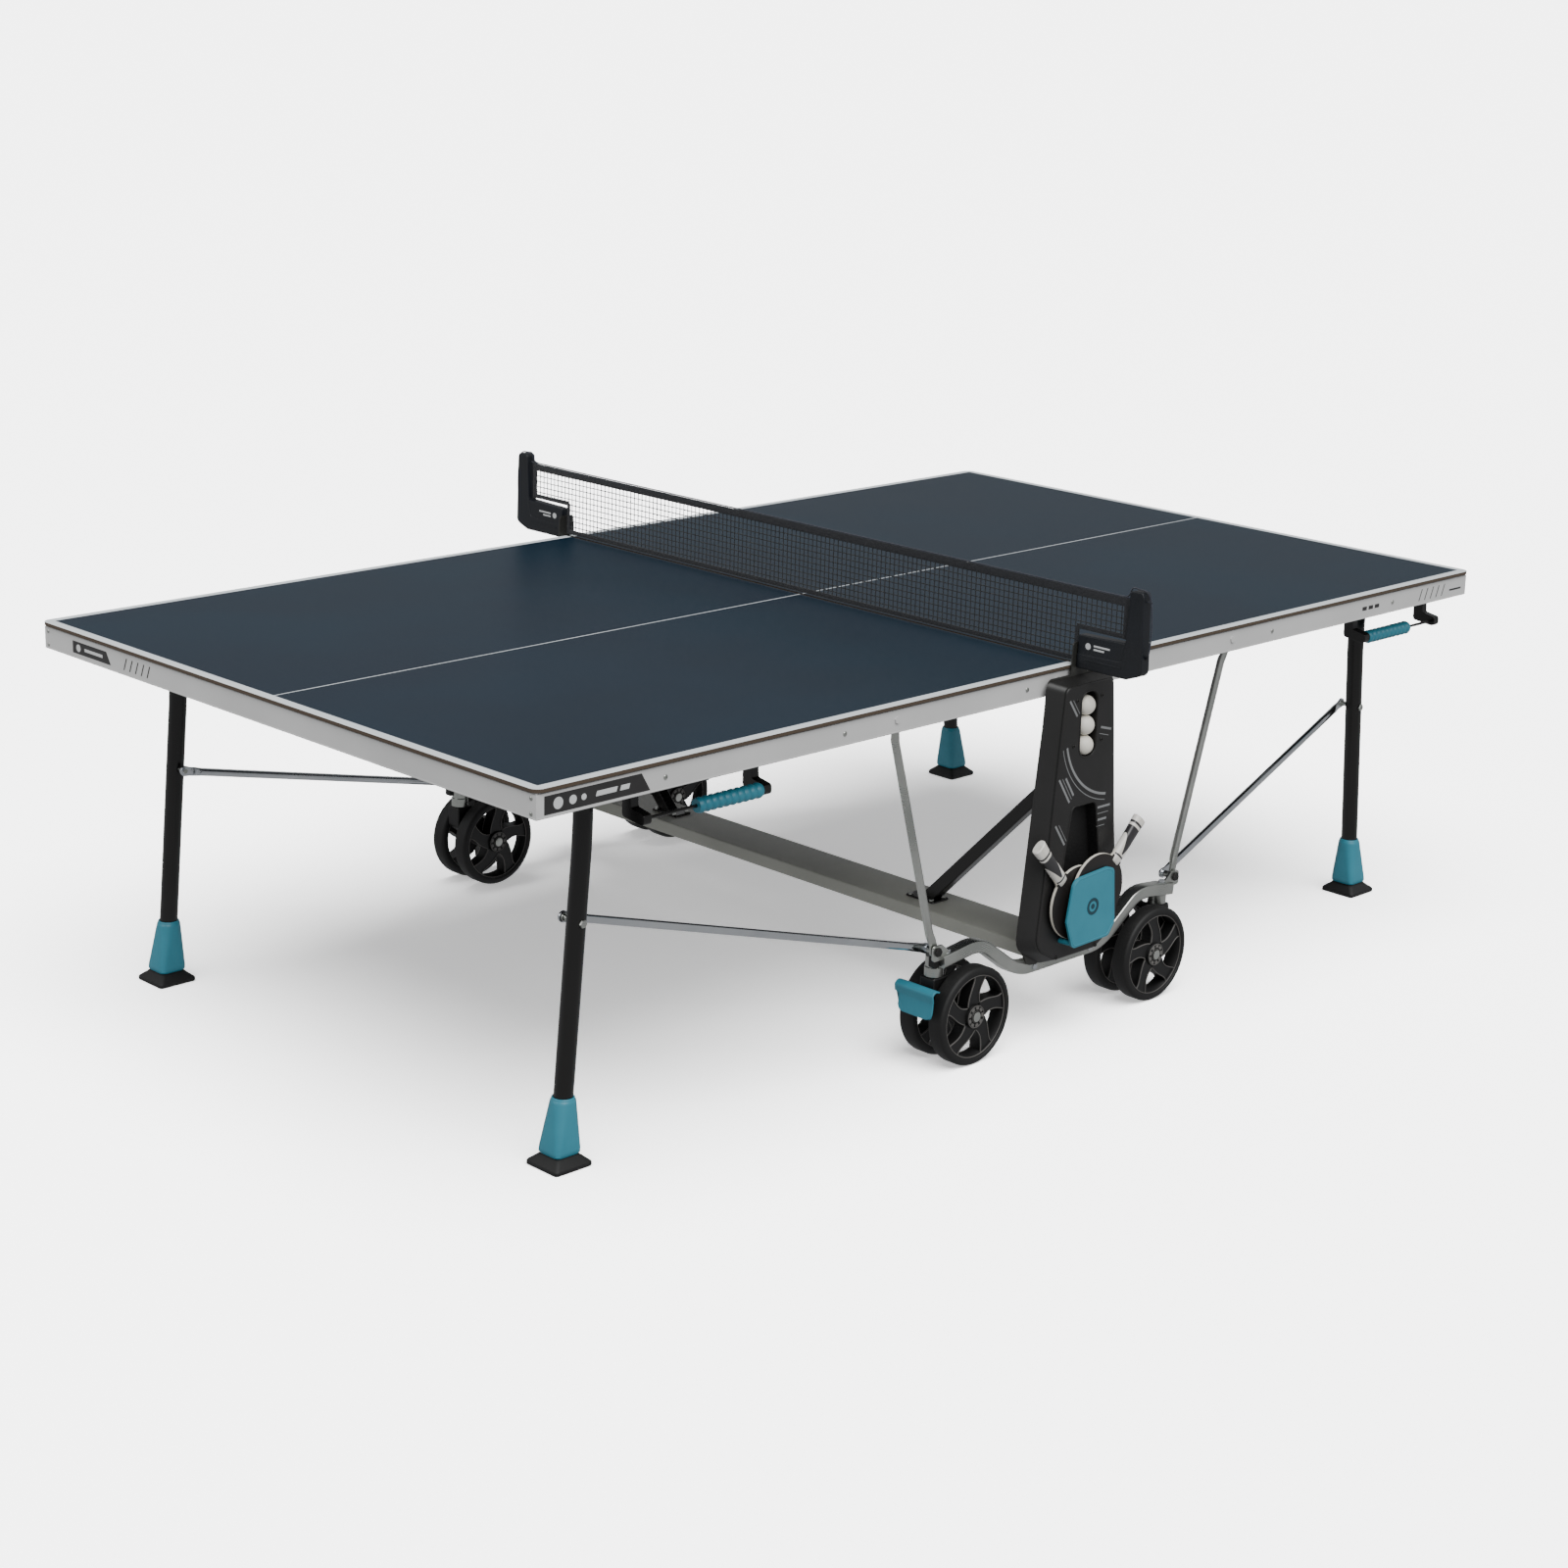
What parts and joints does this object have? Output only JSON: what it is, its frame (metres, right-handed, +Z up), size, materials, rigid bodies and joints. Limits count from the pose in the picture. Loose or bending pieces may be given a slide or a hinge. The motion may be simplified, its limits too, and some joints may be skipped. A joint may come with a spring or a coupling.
{
  "type": "ping pong table",
  "caption": "Folding ping pong table: two half-tops on folding legs, a wheeled chassis with swivel casters, a net, ball and bat storage.",
  "frame": {"origin": "on the floor under the centre of the table, the centre of the bounding box bottom", "axes": "+X along the table length, +Y across the width away from the side with the handles, +Z up"},
  "size_m": [2.74, 1.8814, 0.9333],
  "materials": {
    "playing_surface": "satin slate blue laminate with white border lines",
    "apron_grey": "satin light grey",
    "black_paint": "satin black",
    "zinc_plate": "bright zinc plate",
    "chrome": "polished",
    "chassis_paint": "satin grey green",
    "shroud_plastic": "dark grey moulded",
    "teal_plastic": "teal moulded",
    "wheel_plastic": "black moulded",
    "net_plastic": "dark navy moulded",
    "net_fabric": "dark navy mesh",
    "cord_fibre": "woven cord",
    "bat_rubber": "dark rubber with cream edge",
    "black_rubber": "moulded"
  },
  "bodies": {
    "root": {"chassis_beam": "chassis_paint", "near_wheel_arm": "zinc_plate", "far_wheel_arm": "zinc_plate", "near_brace": "black_paint", "far_brace": "black_paint", "near_guide_plate": "apron_grey", "far_guide_plate": "apron_grey", "near_shroud": "shroud_plastic", "far_shroud": "shroud_plastic", "near_bat_holder": "teal_plastic", "far_bat_holder": "teal_plastic", "near_net_post": "net_plastic", "far_net_post": "net_plastic", "net": "net_fabric", "net_tension_cord": "cord_fibre"},
    "left_carriage": {"left_guide_shaft": "zinc_plate"},
    "left_half_top": {"left_panel": "playing_surface", "left_apron": "apron_grey"},
    "left_leg": {"left_leg_frame": "black_paint", "left_near_boot": "teal_plastic", "left_near_foot": "black_rubber", "left_far_boot": "teal_plastic", "left_far_foot": "black_rubber"},
    "left_handle": {"left_unlock_handle": "black_paint", "left_grip": "teal_plastic"},
    "left_near_strut": {"left_near_strut": "zinc_plate"},
    "left_near_tie_rod": {"left_near_tie_rod": "chrome"},
    "left_near_caster": {"left_near_caster_fork": "wheel_plastic"},
    "left_near_outer_wheel": {"left_near_outer_wheel": "wheel_plastic"},
    "left_near_inner_wheel": {"left_near_inner_wheel": "wheel_plastic"},
    "left_far_strut": {"left_far_strut": "zinc_plate"},
    "left_far_tie_rod": {"left_far_tie_rod": "chrome"},
    "left_far_caster": {"left_far_caster_fork": "wheel_plastic"},
    "left_far_outer_wheel": {"left_far_outer_wheel": "wheel_plastic"},
    "left_far_inner_wheel": {"left_far_inner_wheel": "wheel_plastic"},
    "right_carriage": {"right_guide_shaft": "zinc_plate"},
    "right_half_top": {"right_panel": "playing_surface", "right_apron": "apron_grey"},
    "right_leg": {"right_leg_frame": "black_paint", "right_near_boot": "teal_plastic", "right_near_foot": "black_rubber", "right_far_boot": "teal_plastic", "right_far_foot": "black_rubber"},
    "right_handle": {"right_unlock_handle": "black_paint", "right_grip": "teal_plastic"},
    "right_near_strut": {"right_near_strut": "zinc_plate"},
    "right_near_tie_rod": {"right_near_tie_rod": "chrome"},
    "right_near_caster": {"right_near_caster_fork": "wheel_plastic"},
    "right_near_outer_wheel": {"right_near_outer_wheel": "wheel_plastic"},
    "right_near_inner_wheel": {"right_near_inner_wheel": "wheel_plastic"},
    "right_far_strut": {"right_far_strut": "zinc_plate"},
    "right_far_tie_rod": {"right_far_tie_rod": "chrome"},
    "right_far_caster": {"right_far_caster_fork": "wheel_plastic"},
    "right_far_outer_wheel": {"right_far_outer_wheel": "wheel_plastic"},
    "right_far_inner_wheel": {"right_far_inner_wheel": "wheel_plastic"},
    "left_near_brake_pedal": {"left_near_brake_pedal": "teal_plastic"},
    "right_far_brake_pedal": {"right_far_brake_pedal": "teal_plastic"},
    "left_bat": {"left_bat": "bat_rubber"},
    "right_bat": {"right_bat": "bat_rubber"}
  },
  "joints": [
    {"name": "left_guide_slide", "type": "slide", "parent": "root", "child": "left_carriage", "axis": [-0.1568, 0, -0.9876], "range_m": [0, 0.4978]},
    {"name": "left_fold", "type": "hinge", "parent": "left_carriage", "child": "left_half_top", "pos_m": [-0.05, 0, 0.73], "axis": [0, 1, 0], "range_deg": [0, 90]},
    {"name": "left_leg_fold", "type": "hinge", "parent": "left_half_top", "child": "left_leg", "pos_m": [-1.116, 0, 0.715], "axis": [0, 1, 0], "range_deg": [-74.82, 0]},
    {"name": "left_handle_pull", "type": "hinge", "parent": "left_half_top", "child": "left_handle", "pos_m": [-0.785, -0.664, 0.7], "axis": [-1, 0, 0], "range_deg": [0, 15], "stiffness_Nm_per_rad": 1.5, "springref_deg": -11.46},
    {"name": "left_near_strut_pivot", "type": "hinge", "parent": "left_half_top", "child": "left_near_strut", "pos_m": [-0.503, -0.747, 0.73], "axis": [0, 1, 0], "range_deg": [-46.7, 0]},
    {"name": "left_near_tie_rod_pivot", "type": "hinge", "parent": "left_leg", "child": "left_near_tie_rod", "pos_m": [-1.16057, -0.588, 0.4495], "axis": [0, 1, 0], "range_deg": [0, 67.76]},
    {"name": "left_near_swivel", "type": "hinge", "parent": "root", "child": "left_near_caster", "pos_m": [-0.342, -0.73, 0.1855], "axis": [0, 0, 1], "continuous": true},
    {"name": "left_near_outer_wheel_spin", "type": "hinge", "parent": "left_near_caster", "child": "left_near_outer_wheel", "pos_m": [-0.277, -0.7685, 0.1], "axis": [0, 1, 0], "continuous": true},
    {"name": "left_near_inner_wheel_spin", "type": "hinge", "parent": "left_near_caster", "child": "left_near_inner_wheel", "pos_m": [-0.277, -0.6915, 0.1], "axis": [0, 1, 0], "continuous": true},
    {"name": "left_far_strut_pivot", "type": "hinge", "parent": "left_half_top", "child": "left_far_strut", "pos_m": [-0.503, 0.747, 0.73], "axis": [0, 1, 0], "range_deg": [-46.7, 0]},
    {"name": "left_far_tie_rod_pivot", "type": "hinge", "parent": "left_leg", "child": "left_far_tie_rod", "pos_m": [-1.16057, 0.588, 0.4495], "axis": [0, 1, 0], "range_deg": [0, 67.76]},
    {"name": "left_far_swivel", "type": "hinge", "parent": "root", "child": "left_far_caster", "pos_m": [-0.342, 0.73, 0.1855], "axis": [0, 0, 1], "continuous": true},
    {"name": "left_far_outer_wheel_spin", "type": "hinge", "parent": "left_far_caster", "child": "left_far_outer_wheel", "pos_m": [-0.277, 0.7685, 0.1], "axis": [0, 1, 0], "continuous": true},
    {"name": "left_far_inner_wheel_spin", "type": "hinge", "parent": "left_far_caster", "child": "left_far_inner_wheel", "pos_m": [-0.277, 0.6915, 0.1], "axis": [0, 1, 0], "continuous": true},
    {"name": "right_guide_slide", "type": "slide", "parent": "root", "child": "right_carriage", "axis": [0.1568, 0, -0.9876], "range_m": [0, 0.4978]},
    {"name": "right_fold", "type": "hinge", "parent": "right_carriage", "child": "right_half_top", "pos_m": [0.05, 0, 0.73], "axis": [0, -1, 0], "range_deg": [0, 90]},
    {"name": "right_leg_fold", "type": "hinge", "parent": "right_half_top", "child": "right_leg", "pos_m": [1.116, 0, 0.715], "axis": [0, -1, 0], "range_deg": [-74.82, 0]},
    {"name": "right_handle_pull", "type": "hinge", "parent": "right_half_top", "child": "right_handle", "pos_m": [1.062, -0.664, 0.7], "axis": [-1, 0, 0], "range_deg": [0, 15], "stiffness_Nm_per_rad": 1.5, "springref_deg": -11.46},
    {"name": "right_near_strut_pivot", "type": "hinge", "parent": "right_half_top", "child": "right_near_strut", "pos_m": [0.503, -0.747, 0.73], "axis": [0, -1, 0], "range_deg": [-46.7, 0]},
    {"name": "right_near_tie_rod_pivot", "type": "hinge", "parent": "right_leg", "child": "right_near_tie_rod", "pos_m": [1.16057, -0.588, 0.4495], "axis": [0, -1, 0], "range_deg": [0, 67.76]},
    {"name": "right_near_swivel", "type": "hinge", "parent": "root", "child": "right_near_caster", "pos_m": [0.342, -0.73, 0.1855], "axis": [0, 0, 1], "continuous": true},
    {"name": "right_near_outer_wheel_spin", "type": "hinge", "parent": "right_near_caster", "child": "right_near_outer_wheel", "pos_m": [0.277, -0.7685, 0.1], "axis": [0, 1, 0], "continuous": true},
    {"name": "right_near_inner_wheel_spin", "type": "hinge", "parent": "right_near_caster", "child": "right_near_inner_wheel", "pos_m": [0.277, -0.6915, 0.1], "axis": [0, 1, 0], "continuous": true},
    {"name": "right_far_strut_pivot", "type": "hinge", "parent": "right_half_top", "child": "right_far_strut", "pos_m": [0.503, 0.747, 0.73], "axis": [0, -1, 0], "range_deg": [-46.7, 0]},
    {"name": "right_far_tie_rod_pivot", "type": "hinge", "parent": "right_leg", "child": "right_far_tie_rod", "pos_m": [1.16057, 0.588, 0.4495], "axis": [0, -1, 0], "range_deg": [0, 67.76]},
    {"name": "right_far_swivel", "type": "hinge", "parent": "root", "child": "right_far_caster", "pos_m": [0.342, 0.73, 0.1855], "axis": [0, 0, 1], "continuous": true},
    {"name": "right_far_outer_wheel_spin", "type": "hinge", "parent": "right_far_caster", "child": "right_far_outer_wheel", "pos_m": [0.277, 0.7685, 0.1], "axis": [0, 1, 0], "continuous": true},
    {"name": "right_far_inner_wheel_spin", "type": "hinge", "parent": "right_far_caster", "child": "right_far_inner_wheel", "pos_m": [0.277, 0.6915, 0.1], "axis": [0, 1, 0], "continuous": true},
    {"name": "left_near_brake", "type": "hinge", "parent": "left_near_caster", "child": "left_near_brake_pedal", "pos_m": [-0.3675, -0.73, 0.15], "axis": [0, -1, 0], "range_deg": [0, 8]},
    {"name": "right_far_brake", "type": "hinge", "parent": "right_far_caster", "child": "right_far_brake_pedal", "pos_m": [0.3675, 0.73, 0.15], "axis": [0, 1, 0], "range_deg": [0, 8]},
    {"name": "left_bat_lift", "type": "slide", "parent": "root", "child": "left_bat", "axis": [-0.6606, 0, 0.7507], "range_m": [0, 0.16]},
    {"name": "right_bat_lift", "type": "slide", "parent": "root", "child": "right_bat", "axis": [0.7021, 0, 0.7121], "range_m": [0, 0.16]}
  ],
  "couplings": [
    {"joint": "left_guide_slide", "follows": "left_fold", "m_per_rad": 0.31662},
    {"joint": "left_leg_fold", "follows": "left_fold", "ratio": -0.82583},
    {"joint": "left_near_strut_pivot", "follows": "left_fold", "ratio": -0.51332},
    {"joint": "left_near_tie_rod_pivot", "follows": "left_fold", "ratio": 0.74733},
    {"joint": "left_far_strut_pivot", "follows": "left_fold", "ratio": -0.51332},
    {"joint": "left_far_tie_rod_pivot", "follows": "left_fold", "ratio": 0.74733},
    {"joint": "right_guide_slide", "follows": "right_fold", "m_per_rad": 0.31662},
    {"joint": "right_leg_fold", "follows": "right_fold", "ratio": -0.82583},
    {"joint": "right_near_strut_pivot", "follows": "right_fold", "ratio": -0.51332},
    {"joint": "right_near_tie_rod_pivot", "follows": "right_fold", "ratio": 0.74733},
    {"joint": "right_far_strut_pivot", "follows": "right_fold", "ratio": -0.51332},
    {"joint": "right_far_tie_rod_pivot", "follows": "right_fold", "ratio": 0.74733}
  ]
}
